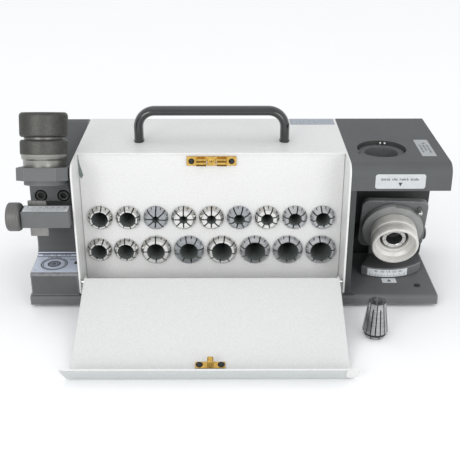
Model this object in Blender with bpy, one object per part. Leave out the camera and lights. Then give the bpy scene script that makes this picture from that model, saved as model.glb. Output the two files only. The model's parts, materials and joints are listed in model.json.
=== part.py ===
"""Drill bit sharpener: bench grinder for twist drills, with a collet store, a setting station
and a swivelling point fixture.

Sizes are in millimetres in design coordinates: x = 0 on the middle of the collet store,
y = 0 on the front edge of the base, z = 0 on the bench. to_world() turns them into metres and
puts the origin at the bottom centre of the whole machine's box. +Z is up and the front faces -Y.
"""
import math

import bmesh
import bpy
from mathutils import Matrix, Vector

# ---------------------------------------------------------------- driving dimensions (mm)
GAP = 0.3                       # clearance kept between pieces that rest on each other
SHEET = 1.5                     # sheet steel of the cover
DOOR_SHEET = 1.2

BASE_LEFT, BASE_RIGHT = -154.5, 192.0
BASE_BACK = 124.0
FOOT_HEIGHT, FOOT_RADIUS = 2.0, 8.0
BASE_TOP = 11.0
TOP = 128.6                     # top of the cover and of both castings
CASTING_BACK = 121.0

COVER_HALF = 111.9              # half the cover's width
RECESS_DEPTH = 31.0             # front edge of the cover to the collet panel
CORNER_RADIUS = 9.0

COLLET_FACE = 25.0              # y of the collets' front faces
ER20 = {"radius": 10.5, "length": 31.5}
ER25 = {"radius": 13.0, "length": 34.0}
TOP_ROW = {"z": 70.4, "x": -94.9, "pitch": 23.6,
           "bores": (13.2, 12.8, 5.4, 6.3, 7.2, 8.6, 9.5, 10.4, 11.5)}
LOW_ROW_SMALL = {"z": 40.0, "x": -97.3, "pitch": 23.0, "bores": (12.8, 13.3)}
LOW_ROW_LARGE = {"z": 40.0, "x": -48.5, "pitch": 28.4,
                 "bores": (14.5, 15.1, 16.5, 17.1, 17.4, 17.6)}

HINGE = (2.5, 23.5)             # y, z of the door's pivot
DOOR_HALF = 107.0               # at the hinge
DOOR_HALF_AT_FOLD = 104.5
DOOR_SLOPE = 14.6               # degrees, the open door's fall towards the bench
DOOR_FOLD = (-105.0, 1.0)       # y, z of the fold, on the sheet's middle
DOOR_START_Y = -1.0
LIP_LENGTH = 15.0
LIP_ANGLE = 122.0               # degrees from +Y, in the open pose
LIP_HALF = 110.0                # at the lip's free edge
LIP_HALF_AT_FOLD = 106.4
STRIKE_FROM_FOLD = 11.3
CATCH_Z = 121.5

STATION_X = -134.2              # setting station on the left
STATION_TILT = 18.0             # degrees, its axis leans back
HOLDER_CENTRE = (13.0, 117.5)   # y, z
HOLDER_ACROSS, HOLDER_CHAMFER, HOLDER_THICK = 41.0, 8.0, 10.3
CHUCK_RADIUS = 19.35
STOP_KNOB_END = -164.8
STOP_BLOCK_LEFT = -152.9

SWIVEL_AXIS = (154.0, 73.0)     # x, y of the point fixture's vertical pivot
SWIVEL_RADIUS = 42.0
CAM_CENTRE = (158.0, 47.0, 53.0)
CAM_RADIUS = 27.0
FIXTURE_TILT, FIXTURE_SWIVEL = 17.3, 3.2
PORT = (141.4, 40.0)            # x, y of the port in the hood's top
PORT_RADIUS = 20.5
PORT_RING = 13.0                # height of the ring that stands in the port
SIDE_KNOB_END = 197.7
SPINDLE = (94.0, 70.0)          # y, z of the motor and wheel axis

LIP_DIRECTION = (math.cos(math.radians(LIP_ANGLE)), math.sin(math.radians(LIP_ANGLE)))
LIP_NORMAL = (-LIP_DIRECTION[1], LIP_DIRECTION[0])
FRONT_REACH = (DOOR_FOLD[0] + LIP_LENGTH * LIP_DIRECTION[0] + DOOR_SHEET / 2 * LIP_NORMAL[0])
CENTRE = ((STOP_KNOB_END + SIDE_KNOB_END) / 2, (FRONT_REACH + BASE_BACK) / 2)


# ---------------------------------------------------------------- helpers
def to_world(x, y, z):
    """Design millimetres to metres about the machine's bottom centre."""
    return Vector(((x - CENTRE[0]) / 1000, (y - CENTRE[1]) / 1000, z / 1000))


def material(name, color, roughness, metallic=0.0):
    found = bpy.data.materials.get(name) or bpy.data.materials.new(name)
    found.use_nodes = True
    shader = found.node_tree.nodes["Principled BSDF"]
    shader.inputs["Base Color"].default_value = (*color, 1)
    shader.inputs["Roughness"].default_value = roughness
    shader.inputs["Metallic"].default_value = metallic
    return found


def cast_grey():
    return material("cast_grey", (0.125, 0.13, 0.135), 0.55)


def white_paint():
    return material("white_paint", (0.82, 0.82, 0.81), 0.45)


def bright_steel():
    return material("bright_steel", (0.62, 0.62, 0.6), 0.28, 1.0)


def dark_steel():
    return material("dark_steel", (0.12, 0.12, 0.115), 0.45, 0.8)


def aluminium():
    return material("aluminium", (0.72, 0.71, 0.68), 0.35, 1.0)


def brass():
    return material("brass", (0.75, 0.55, 0.2), 0.3, 1.0)


def black_plastic():
    return material("black_plastic", (0.02, 0.02, 0.02), 0.4)


def black_gloss():
    return material("black_gloss", (0.015, 0.015, 0.015), 0.2)


def grinding_stone():
    return material("grinding_stone", (0.3, 0.27, 0.24), 0.9)


def new_object(name, bm, finish, at=None, matrix=None, sharp=35):
    """Turn a bmesh in metres, about its own origin, into an object placed at a design point."""
    bmesh.ops.remove_doubles(bm, verts=bm.verts, dist=1e-7)
    bmesh.ops.recalc_face_normals(bm, faces=bm.faces)
    mesh = bpy.data.meshes.new(name)
    bm.to_mesh(mesh)
    bm.free()
    mesh.shade_smooth()
    mesh.set_sharp_from_angle(angle=math.radians(sharp))
    mesh.materials.append(finish)
    made = bpy.data.objects.new(name, mesh)
    bpy.context.scene.collection.objects.link(made)
    if matrix is not None:
        made.matrix_world = matrix
    if at is not None:
        made.location = to_world(*at)
    return made


def guide(made):
    made.hide_render = True
    made.display_type = "WIRE"
    return made


def combine(target, tool, operation):
    """Cut or join with a hidden tool object."""
    guide(tool)
    step = target.modifiers.new(operation.lower(), "BOOLEAN")
    step.operation = operation
    step.object = tool
    step.solver = "EXACT"
    return target


def cut(target, tool):
    return combine(target, tool, "DIFFERENCE")


def join(target, tool):
    return combine(target, tool, "UNION")


def bevel(target, width, segments=2, angle=40):
    step = target.modifiers.new("bevel", "BEVEL")
    step.width = width / 1000
    step.segments = segments
    step.limit_method = "ANGLE"
    step.angle_limit = math.radians(angle)
    return target


def box(name, low, high, finish):
    """A block between two design corners, with its origin at its centre."""
    middle = [(a + b) / 2 for a, b in zip(low, high)]
    half = [(b - a) / 2000 for a, b in zip(low, high)]
    bm = bmesh.new()
    bmesh.ops.create_cube(bm, size=2.0)
    bmesh.ops.scale(bm, vec=half, verts=bm.verts)
    return new_object(name, bm, finish, at=middle)


def prism(name, outline, plane, low, high, finish, at=(0.0, 0.0, 0.0), sharp=35):
    """Extrude an outline. plane "YZ" runs along X, "XZ" along Y and "XY" along Z."""
    order = {"YZ": (2, 0, 1), "XZ": (0, 2, 1), "XY": (0, 1, 2)}[plane]
    bm = bmesh.new()
    rings = []
    for level in (low, high):
        ring = []
        for a, b in outline:
            values = (a, b, level)
            point = [values[k] for k in order]
            ring.append(bm.verts.new([(p - q) / 1000 for p, q in zip(point, at)]))
        rings.append(ring)
    bm.faces.new(rings[0])
    bm.faces.new(list(reversed(rings[1])))
    count = len(outline)
    for i in range(count):
        j = (i + 1) % count
        bm.faces.new((rings[0][i], rings[0][j], rings[1][j], rings[1][i]))
    return new_object(name, bm, finish, at=at, sharp=sharp)


def arc(centre, radius, start, end, steps):
    """Points along an arc, angles in degrees."""
    points = []
    for i in range(steps + 1):
        angle = math.radians(start + (end - start) * i / steps)
        points.append((centre[0] + radius * math.cos(angle), centre[1] + radius * math.sin(angle)))
    return points


def rounded_rectangle(low, high, radius, steps=4):
    corners = (((high[0] - radius, high[1] - radius), 0), ((low[0] + radius, high[1] - radius), 90),
               ((low[0] + radius, low[1] + radius), 180), ((high[0] - radius, low[1] + radius), 270))
    points = []
    for centre, start in corners:
        points += arc(centre, radius, start, start + 90, steps)
    return points


def frame_at(origin, axis, up=(0, 0, 1)):
    """A matrix whose local Z is the axis and whose local Y leans towards up."""
    z = Vector(axis).normalized()
    x = Vector(up).cross(z).normalized()
    y = z.cross(x)
    place = to_world(*origin)
    return Matrix(((x.x, y.x, z.x, place.x), (x.y, y.y, z.y, place.y),
                   (x.z, y.z, z.z, place.z), (0, 0, 0, 1)))


def lathe(name, profile, steps, finish, origin, axis, up=(0, 0, 1), sharp=35, scale=None):
    """Turn a closed profile of (radius, height) about the axis. A radius of 0 closes the end.

    scale, if given, is a function of the angle that multiplies the largest radii, for a cam.
    """
    bm = bmesh.new()
    rings = []
    for radius, height in profile:
        if radius == 0:
            rings.append([bm.verts.new((0, 0, height / 1000))] * steps)
            continue
        ring = []
        for i in range(steps):
            angle = 2 * math.pi * (i + 0.5) / steps
            reach = radius / 1000
            if scale:
                reach *= scale(angle, radius)
            ring.append(bm.verts.new((reach * math.cos(angle), reach * math.sin(angle),
                                      height / 1000)))
        rings.append(ring)
    solid_ends = profile[0][0] == 0 and profile[-1][0] == 0
    pairs = list(zip(rings, rings[1:]))
    if not solid_ends:
        pairs.append((rings[-1], rings[0]))
    for lower, upper in pairs:
        for i in range(steps):
            j = (i + 1) % steps
            corners = [lower[i], lower[j], upper[j], upper[i]]
            unique = [v for k, v in enumerate(corners) if v not in corners[:k]]
            if len(unique) > 2:
                bm.faces.new(unique)
    return new_object(name, bm, finish, matrix=frame_at(origin, axis, up), sharp=sharp)


def rod(name, radius, length, steps, finish, origin, axis, up=(0, 0, 1)):
    """A plain round bar from the origin along the axis."""
    profile = ((0, 0), (radius, 0), (radius, length), (0, length))
    return lathe(name, profile, steps, finish, origin, axis, up)


def sweep(name, path, section, finish):
    """Carry a closed section of (across, y) points along a path in the XZ plane."""
    bm = bmesh.new()
    rings = []
    for i, (x, y, z) in enumerate(path):
        before = Vector(path[max(i - 1, 0)])
        after = Vector(path[min(i + 1, len(path) - 1)])
        along = (after - before).normalized()
        side = Vector((0, 1, 0)).cross(along).normalized()
        ring = []
        for across, deep in section:
            spot = Vector((x, y, z)) + side * across + Vector((0, 1, 0)) * deep
            ring.append(bm.verts.new(spot / 1000))
        rings.append(ring)
    for lower, upper in zip(rings, rings[1:]):
        for i in range(len(section)):
            j = (i + 1) % len(section)
            bm.faces.new((lower[i], lower[j], upper[j], upper[i]))
    bm.faces.new(list(reversed(rings[0])))
    bm.faces.new(rings[-1])
    return new_object(name, bm, finish, at=(0, 0, 0), sharp=50)


# ---------------------------------------------------------------- base and feet
def make_base():
    edge = 3.0
    outline = [(0, FOOT_HEIGHT), (0, BASE_TOP - edge)]
    outline += arc((edge, BASE_TOP - edge), edge, 180, 90, 4)[1:]
    outline += [(BASE_BACK, BASE_TOP), (BASE_BACK, FOOT_HEIGHT)]
    prism("base_plate", outline, "YZ", BASE_LEFT, BASE_RIGHT, cast_grey())
    inset = 16.0
    for side, x in (("left", BASE_LEFT + inset), ("right", BASE_RIGHT - inset)):
        for end, y in (("front", inset), ("back", BASE_BACK - inset)):
            rod(f"foot_{end}_{side}", FOOT_RADIUS, FOOT_HEIGHT - GAP, 16,
                black_plastic(), (x, y, 0), (0, 0, 1), (0, 1, 0))


# ---------------------------------------------------------------- cover, panel and handle
def make_cover():
    """One folded sheet shell: top, back and two side walls that run forward past the panel."""
    bottom = BASE_TOP + GAP
    profile = [(3.0, bottom), (0.0, 14.5), (0.0, TOP - CORNER_RADIUS)]
    profile += arc((CORNER_RADIUS, TOP - CORNER_RADIUS), CORNER_RADIUS, 180, 90, 6)[1:]
    profile += [(CASTING_BACK, TOP), (CASTING_BACK, bottom)]
    cover = prism("motor_cover", profile, "YZ", -COVER_HALF, COVER_HALF, white_paint())
    inner = COVER_HALF - SHEET
    cut(cover, box("cover_recess_cutter", (-inner, -5, 0), (inner, RECESS_DEPTH - 1, TOP + 5),
                   white_paint()))
    cut(cover, box("cover_inside_cutter", (-inner, RECESS_DEPTH - 3, 0),
                   (inner, CASTING_BACK - SHEET, TOP - SHEET), white_paint()))
    for side in (-1, 1):
        cut(cover, rod(f"pivot_cutter_{side}", 2.05, 8, 12, white_paint(),
                       (side * (COVER_HALF - 4), *HINGE), (side, 0, 0)))
    cut(cover, rod("spindle_cutter", 9.0, 12, 16, white_paint(),
                   (COVER_HALF - 6, *SPINDLE), (1, 0, 0)))
    cut(cover, box("inlet_cutter", (58.7, CASTING_BACK - 8, 30.7), (105.3, CASTING_BACK + 5, 55.3),
                   white_paint()))


def collets():
    """Every stored collet: name, x, z, its size and its bore."""
    rows = ((TOP_ROW, ER20, "collet_top"), (LOW_ROW_SMALL, ER20, "collet_low_small"),
            (LOW_ROW_LARGE, ER25, "collet_low_large"))
    for row, size, label in rows:
        for i, bore in enumerate(row["bores"]):
            yield f"{label}_{i + 1}", row["x"] + i * row["pitch"], row["z"], size, bore


def collet_profile(size, bore):
    """Outside from the nose to the small end, then back along the bore. Height runs inward."""
    full, length = size["radius"], size["length"]
    nose = full - 2.3
    waist = full - 1.3
    body = full - 0.9
    hole = bore / 2
    mouth = min(hole + 0.5, nose - 0.5)
    return ((mouth, 0), (nose, 0), (full, 3.2), (full, 5.7), (waist, 5.7), (waist, 7.6),
            (body, 7.9), (full * 0.66, length), (min(hole, full * 0.6), length), (hole, 2.0))


LOOSE_COLLET = ((4.9, 0), (7.7, 0), (9.2, 3.4), (8.6, 3.5), (8.6, 5.5), (10.3, 5.6),
                (6.9, 31.5), (4.5, 31.5), (4.5, 2.0))
COLLET_STEPS = 16


def make_panel():
    low, high = BASE_TOP + GAP, TOP - SHEET - GAP
    half = COVER_HALF - SHEET - GAP
    panel = box("collet_panel", (-half, RECESS_DEPTH, low), (half, RECESS_DEPTH + 1.2, high),
                white_paint())
    for name, x, z, size, _ in collets():
        cut(panel, rod(f"{name}_cutter", size["radius"] - 0.5, 10, COLLET_STEPS, white_paint(),
                       (x, RECESS_DEPTH - 4, z), (0, 1, 0)))


def make_collets():
    for name, x, z, size, bore in collets():
        lathe(name, collet_profile(size, bore), COLLET_STEPS, bright_steel(),
              (x, COLLET_FACE, z), (0, 1, 0), sharp=30)
    lathe("loose_collet", LOOSE_COLLET, COLLET_STEPS, bright_steel(),
          (131.5, -45.0, 0.0), (0, 0, 1), (0, 1, 0), sharp=30)


def make_handle():
    """Bow handle: two legs and a bar of one oval section."""
    left, right, y = -62.0, 61.7, 60.0
    middle_z, radius = 155.2, 14.0
    path = [(left, y, TOP + GAP)]
    for cx, start, end in ((left + radius, 180, 90), (right - radius, 90, 0)):
        path += [(a, y, b) for a, b in arc((cx, middle_z - radius), radius, start, end, 6)]
    path.append((right, y, TOP + GAP))
    section = [(4.0 * math.cos(t), 5.8 * math.sin(t))
               for t in (2 * math.pi * i / 12 for i in range(12))]
    sweep("carry_handle", path, section, black_gloss())


# ---------------------------------------------------------------- door and catch
def door_point(distance, height=0.0):
    """Design (y, z) on the open door's middle plane, distance from the fold towards the hinge."""
    slope = math.radians(DOOR_SLOPE)
    y = DOOR_FOLD[0] + distance * math.cos(slope) - height * math.sin(slope)
    z = DOOR_FOLD[1] + distance * math.sin(slope) + height * math.cos(slope)
    return y, z


def door_length():
    return (DOOR_START_Y - DOOR_FOLD[0]) / math.cos(math.radians(DOOR_SLOPE))


def make_door():
    """Folded sheet: panel, front lip and two pivot ears in one piece."""
    half = DOOR_SHEET / 2
    length = door_length()
    panel = [door_point(-0.4, -half), door_point(length, -half), door_point(length, half),
             door_point(-0.4, half)]
    door = prism("door", panel, "YZ", -DOOR_HALF, DOOR_HALF, white_paint(), at=(0.0, *HINGE))
    for corner in door.data.vertices:
        if corner.co.y < -0.05:
            corner.co.x *= DOOR_HALF_AT_FOLD / DOOR_HALF

    def lip_point(distance, out):
        return (DOOR_FOLD[0] + distance * LIP_DIRECTION[0] + out * LIP_NORMAL[0],
                DOOR_FOLD[1] + distance * LIP_DIRECTION[1] + out * LIP_NORMAL[1])

    lip = [lip_point(-0.2, half), lip_point(-0.2, -half), lip_point(LIP_LENGTH, -half),
           lip_point(LIP_LENGTH, half)]
    lip_tool = prism("lip_tool", lip, "YZ", -LIP_HALF, LIP_HALF, white_paint())
    for corner in lip_tool.data.vertices:
        if corner.co.z < lip_point(LIP_LENGTH / 2, 0.0)[1] / 1000:
            corner.co.x *= LIP_HALF_AT_FOLD / LIP_HALF
    join(door, lip_tool)
    ear_face = DOOR_HALF - DOOR_SHEET
    start = door_point(length - 0.5, 0.1)
    back = door_point(length - 15.0, 0.1)
    ear = [back, start, (4.5, 27.3), (6.5, 25.0), (6.5, 22.0), (4.5, 19.6), (1.0, 19.4), (-3, 21.0)]
    for side in (-1, 1):
        low, high = sorted((side * (ear_face - 0.1), side * (DOOR_HALF - 0.1)))
        join(door, prism(f"ear_{side}_tool", ear, "YZ", low, high, white_paint()))
        cut(door, rod(f"ear_{side}_cutter", 2.05, 8, 12, white_paint(),
                      (side * (ear_face - 3), *HINGE), (side, 0, 0)))
    for side, label in ((-1, "left"), (1, "right")):
        head, wall = DOOR_HALF - DOOR_SHEET - 2 * GAP, COVER_HALF
        profile = ((0, 0), (3.2, 0), (3.2, 1.2), (1.75, 1.2), (1.75, wall - head + 1.2),
                   (0, wall - head + 1.2))
        lathe(f"hinge_pin_{label}", profile, 12, bright_steel(),
              (side * (head - 1.2), *HINGE), (side, 0, 0))


def make_catch():
    """Double-ball catch on the panel: plate and two barrels, each with a sprung ball."""
    face = RECESS_DEPTH - GAP
    plate = box("catch_body", (-20.5, face - 1.5, CATCH_Z - 4), (20.5, face, CATCH_Z + 4), brass())
    for side, label in ((-1, "left"), (1, "right")):
        join(plate, rod(f"barrel_{label}_tool", 3.3, 8.5, 12, brass(),
                        (side * 4.2, face - 4.3, CATCH_Z), (side, 0, 0)))
        cut(plate, rod(f"barrel_{label}_cutter", 2.3, 7.0, 12, brass(),
                       (side * 3.2, face - 4.3, CATCH_Z), (side, 0, 0)))
        profile = ((0, 0), (1.1, 0.35), (1.9, 1.3), (1.9, 3.4), (0, 3.4))
        lathe(f"catch_ball_{label}", profile, 12, bright_steel(),
              (side * 3.0, face - 4.3, CATCH_Z), (side, 0, 0))
    middle = Matrix.Rotation(math.radians(DOOR_SLOPE), 4, "X")
    spot = to_world(0, *door_point(STRIKE_FROM_FOLD, DOOR_SHEET / 2 + GAP))
    outline = [(-11.3, 0), (11.3, 0), (11.3, 1.0), (2.4, 1.0), (2.4, 6.0), (1.4, 7.0),
               (-1.4, 7.0), (-2.4, 6.0), (-2.4, 1.0), (-11.3, 1.0)]
    strike = prism("strike", outline, "XZ", -3.0, 3.0, brass())
    strike.matrix_world = Matrix.Translation(spot) @ middle


# ---------------------------------------------------------------- left casting and station
def make_left_casting():
    """Ledge, column and back housing, hollow behind and open towards the motor."""
    left, right = BASE_LEFT + 2.0, -COVER_HALF - GAP
    low = BASE_TOP + GAP
    profile = [(0.5, low), (0.5, 31.0), (2.0, 32.5), (29.0, 32.5)]
    profile += arc((29.0, 41.5), 9.0, -90, 0, 4)[1:]
    profile += [(38.0, 106.0), (44.0, 112.0), (112.0, TOP), (CASTING_BACK, TOP),
                (CASTING_BACK, low)]
    casting = prism("left_casting", profile, "YZ", left, right, cast_grey())
    cut(casting, box("left_casting_cutter", (left + 6, 46, 17), (right + 5, CASTING_BACK - 6, 104),
                     cast_grey()))


def station_point(along, back=0.0):
    """Design (y, z) in the tilted station: along its axis from the holder's centre."""
    tilt = math.radians(STATION_TILT)
    y = HOLDER_CENTRE[0] + along * math.sin(tilt) + back * math.cos(tilt)
    z = HOLDER_CENTRE[1] + along * math.cos(tilt) - back * math.sin(tilt)
    return y, z


def make_station():
    axis = (0, math.sin(math.radians(STATION_TILT)), math.cos(math.radians(STATION_TILT)))
    half = HOLDER_THICK / 2
    flat = HOLDER_ACROSS / 2
    inner = flat - HOLDER_CHAMFER
    outline = [(flat, inner), (inner, flat), (-inner, flat), (-flat, inner),
               (-flat, -inner), (-inner, -flat), (inner, -flat), (flat, -inner)]
    holder = prism("ring_holder", outline, "XY", -half, half, cast_grey())
    holder.matrix_world = frame_at((STATION_X, *station_point(0)), axis, (0, -1, 0))
    wall = 38.0 - GAP
    join(holder, box("holder_plate_tool", (STATION_X - 18, wall - 8, 82),
                     (STATION_X + 18, wall, 111), cast_grey()))
    arm = [station_point(half - 1.0, 8.0), station_point(half - 1.0, 21.0), (wall - 1.0, 110.0),
           (wall - 1.0, 96.0), station_point(-half + 1.0, 8.0)]
    join(holder, prism("holder_arm_tool", arm, "YZ", STATION_X - 14, STATION_X + 14, cast_grey()))
    boss = station_point(-half - 4.0)
    join(holder, rod("holder_boss_tool", 17.0, 8.0, 20, cast_grey(), (STATION_X, *boss), axis,
                     (0, -1, 0)))
    bore = station_point(-half - 8.0)
    cut(holder, rod("holder_bore_cutter", 13.0, 30.0, 20, cast_grey(), (STATION_X, *bore), axis,
                    (0, -1, 0)))
    seat = station_point(half - 2.6)
    cut(holder, rod("holder_seat_cutter", 18.0, 10.0, 20, cast_grey(), (STATION_X, *seat), axis,
                    (0, -1, 0)))
    for label, x in (("left", -143.3), ("right", -124.4)):
        cut(holder, rod(f"counterbore_{label}_cutter", 5.4, 8.0, 16, cast_grey(),
                        (x, wall - 2.8, 90.7), (0, -1, 0)))
        profile = ((0, 0), (4.3, 0), (4.3, 5.0), (2.9, 5.0), (2.4, 2.2), (0, 2.2))
        lathe(f"holder_screw_{label}", profile, 12, dark_steel(),
              (x, wall - 2.8 - GAP, 90.7), (0, -1, 0))

    foot = station_point(half - 2.6 + GAP)
    sleeve = ((12.6, -12.0), (12.6, 0), (17.15, 0), (17.15, 8.0), (17.6, 8.4), (18.6, 12.2),
              (CHUCK_RADIUS, 12.6), (CHUCK_RADIUS, 23.4), (18.6, 24.2), (12.5, 24.2), (9.0, 24.2),
              (9.0, -12.0))
    lathe("chuck_sleeve", sleeve, 28, dark_steel(), (STATION_X, *foot), axis, (0, -1, 0))
    top = station_point(half - 2.6 + GAP + 24.2 + GAP)
    nut = ((9.0, 0), (15.8, 0), (15.8, 2.4), (18.2, 2.7), (CHUCK_RADIUS, 4.0),
           (CHUCK_RADIUS, 19.6), (17.6, 21.4), (9.0, 21.4))
    lathe("chuck_nut", nut, 28, dark_steel(), (STATION_X, *top), axis, (0, -1, 0))


def make_stop():
    """Length stop: a block that a lead screw moves sideways on a bracket."""
    bracket = box("stop_plate", (-150.2, 9.0, 63.0), (-135.1, 12.0, 94.5), bright_steel())
    join(bracket, box("stop_arm_tool", (-150.2, 11.0, 63.0), (-135.1, 38.0 - GAP, 70.0),
                      bright_steel()))
    bevel(box("stop_block", (STOP_BLOCK_LEFT, -7.0, 77.6), (-113.8, 7.0, 92.0), cast_grey()), 0.8)
    knob = ((0, 0), (10.4, 0), (11.7, 1.2), (11.7, 9.6), (10.4, 11.3), (4.0, 11.3), (0, 11.3))
    lathe("stop_knob", knob, 24, cast_grey(), (STOP_KNOB_END, 0.0, 84.8), (1, 0, 0))


# ---------------------------------------------------------------- right casting and fixture
def make_right_casting():
    """Hood, sloping back wall and wheel housing, hollow behind and open towards the motor."""
    left, right = COVER_HALF + GAP, BASE_RIGHT
    low, radius = BASE_TOP + GAP, 9.0
    profile = [(0.0, 107.0), (0.0, TOP - radius)]
    profile += arc((radius, TOP - radius), radius, 180, 90, 5)[1:]
    profile += [(CASTING_BACK, TOP), (CASTING_BACK, low), (80.0, low), (67.5, 58.0), (64.5, 86.0),
                (58.0, 100.0), (48.0, 107.0)]
    casting = prism("right_casting", profile, "YZ", left, right, cast_grey())
    side = [(left, low), (left + 9.0, low), (left + 6.2, low + 1.3), (left + 5.0, low + 4.0),
            (left + 4.6, low + 7.0), (left + 4.6, 108.0), (left, 108.0)]
    join(casting, prism("side_wall_tool", side, "XZ", 1.0, 82.0, cast_grey()))
    cut(casting, box("wheel_room_cutter", (left - 5, 70.5, 30), (right - 6, 117.5, 104),
                     cast_grey()))
    cut(casting, rod("port_cutter", PORT_RADIUS, 30, 28, cast_grey(), (*PORT, 112.0), (0, 0, 1),
                     (0, 1, 0)))
    cut(casting, rod("port_through_cutter", 16.0, 30, 28, cast_grey(), (*PORT, 95.0), (0, 0, 1),
                     (0, 1, 0)))
    notch = [PORT[0] + 20.9 * math.cos(math.radians(208)),
             PORT[1] + 20.9 * math.sin(math.radians(208)), TOP - 3.5]
    cut(casting, rod("port_notch_cutter", 2.8, 10, 12, cast_grey(), notch, (0, 0, 1), (0, 1, 0)))
    axis = fixture_axis()
    start = [c - a * 13.0 for c, a in zip(CAM_CENTRE, axis)]
    cut(casting, rod("window_cutter", 14.0, 16.0, 20, cast_grey(), start, [-a for a in axis]))
    ring = ((13.8, 0), (PORT_RADIUS - GAP, 0), (PORT_RADIUS - GAP, PORT_RING), (13.8, PORT_RING))
    lathe("port_ring", ring, 28, dark_steel(), (*PORT, 112.0 + GAP), (0, 0, 1), (0, 1, 0))
    knob_length = SIDE_KNOB_END - BASE_RIGHT - GAP
    knob = ((0, 0), (6.0, 0), (6.6, 0.8), (6.6, knob_length - 1.2), (5.4, knob_length),
            (0, knob_length))
    lathe("side_knob", knob, 16, black_plastic(), (BASE_RIGHT + GAP, 90.0, 27.5), (1, 0, 0))


def fixture_axis():
    """The drill chuck's axis: out of its mouth, forward and down, swung a little to the left."""
    tilt, swing = math.radians(FIXTURE_TILT), math.radians(FIXTURE_SWIVEL)
    return (-math.sin(swing) * math.cos(tilt), -math.cos(swing) * math.cos(tilt), -math.sin(tilt))


def make_fixture():
    """Swivel base, tilted plate, cam and drill chuck."""
    low = BASE_TOP + GAP
    outline = arc(SWIVEL_AXIS, SWIVEL_RADIUS, -90 - 33, -90 + 48, 16)
    outline += [(SWIVEL_AXIS[0] + 6.0, SWIVEL_AXIS[1] + 2.0),
                (SWIVEL_AXIS[0] - 6.0, SWIVEL_AXIS[1] + 2.0)]
    prism("swivel_base", outline, "XY", low, 20.0, cast_grey(),
          at=(*SWIVEL_AXIS, low))
    axis = fixture_axis()
    place = frame_at(CAM_CENTRE, axis)
    half_w, low_edge, high_edge, thick = 28.5, -24.5, 28.5, 5.0
    outline = rounded_rectangle((-half_w, low_edge), (half_w, high_edge), 7.0, 4)
    plate = prism("fixture_plate", outline, "XY", -6.5, -6.5 + thick, cast_grey())
    plate.matrix_world = place
    foot = [(-18, -35.0), (18, -35.0), (18, -22.0), (-18, -22.0)]
    leg = prism("fixture_leg_tool", foot, "XY", -8.0, -1.7, cast_grey())
    leg.matrix_world = place
    join(plate, leg)
    cut(plate, box("fixture_leg_cutter", (110, 20, 0), (205, 90, 20.0 + GAP), cast_grey()))
    cut(plate, rod("fixture_bore_cutter", 12.6, 30, 24, cast_grey(),
                   [c - a * 15.0 for c, a in zip(CAM_CENTRE, axis)], axis))

    def cam(angle, radius):
        """The rim grows clockwise through one turn and drops back at the step on top."""
        turn = ((math.pi / 2 - angle) / (2 * math.pi)) % 1
        return 1.0 if radius < CAM_RADIUS - 3 else 0.95 + 0.05 * turn

    disc = ((8.0, -11.0), (12.2, -11.0), (12.2, -1.0), (CAM_RADIUS, -1.0), (CAM_RADIUS, 4.0),
            (8.0, 4.0))
    lathe("cam_disc", disc, 40, cast_grey(), CAM_CENTRE, axis, scale=cam)
    mouth = 25.0
    cup = ((12.4, 4.3), (19.6, 4.3), (20.0, 4.8), (20.0, mouth - 1.0), (19.4, mouth),
           (17.6, mouth), (16.6, mouth - 5.0), (14.2, mouth - 7.5), (13.2, mouth - 10.0),
           (12.4, mouth - 10.0))
    lathe("fixture_cup", cup, 28, aluminium(), CAM_CENTRE, axis)
    ring = ((7.0, 5.0), (10.5, 5.0), (12.0, 8.5), (12.0, 13.6), (10.6, 15.0), (7.0, 15.0))
    lathe("fixture_collet", ring, 20, bright_steel(), CAM_CENTRE, axis)
    pin_spot = place @ Vector((20.6 / 1000, 21.2 / 1000, -1.2 / 1000))
    pin = rod("cam_pin", 2.0, 8.0, 10, bright_steel(), CAM_CENTRE, axis)
    pin.matrix_world = Matrix.Translation(pin_spot - place.translation) @ pin.matrix_world


# ---------------------------------------------------------------- drive and electrics
def make_drive():
    y, z = SPINDLE
    radius, half, middle = 24.0, 66.0, -14.0
    body = lathe("motor_body", ((6.3, -half), (radius - 2, -half), (radius, -half + 3),
                                (radius, half - 3), (radius - 2, half), (6.3, half)), 28,
                 dark_steel(), (middle, y, z), (1, 0, 0))
    join(body, box("motor_foot_tool", (middle - 38, y - 18, BASE_TOP + GAP),
                   (middle + 38, y + 18, z - 14), dark_steel()))
    cut(body, rod("motor_bore_cutter", 6.3, 2 * half + 20, 16, dark_steel(),
                  (middle - half - 10, y, z), (1, 0, 0)))
    for label, x in (("left", middle - half - GAP - 7.0), ("right", middle + half + GAP)):
        ring = ((5.4, 0), (12.0, 0), (12.0, 7.0), (5.4, 7.0))
        lathe(f"bearing_{label}", ring, 20, bright_steel(), (x, y, z), (1, 0, 0))
    start, end = -92.0, 166.0
    rod("motor_shaft", 5.0, end - start, 16, bright_steel(), (start, y, z), (1, 0, 0))
    wheel = ((5.4, 0), (22.0, 0), (22.0, 15.0), (5.4, 15.0))
    lathe("grinding_wheel", wheel, 28, grinding_stone(), (141.0, y, z), (1, 0, 0))
    nut = ((6.2, 0), (9.2, 0), (9.2, 5.5), (6.2, 5.5))
    lathe("wheel_nut", nut, 6, bright_steel(), (156.3, y, z), (1, 0, 0))


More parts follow.
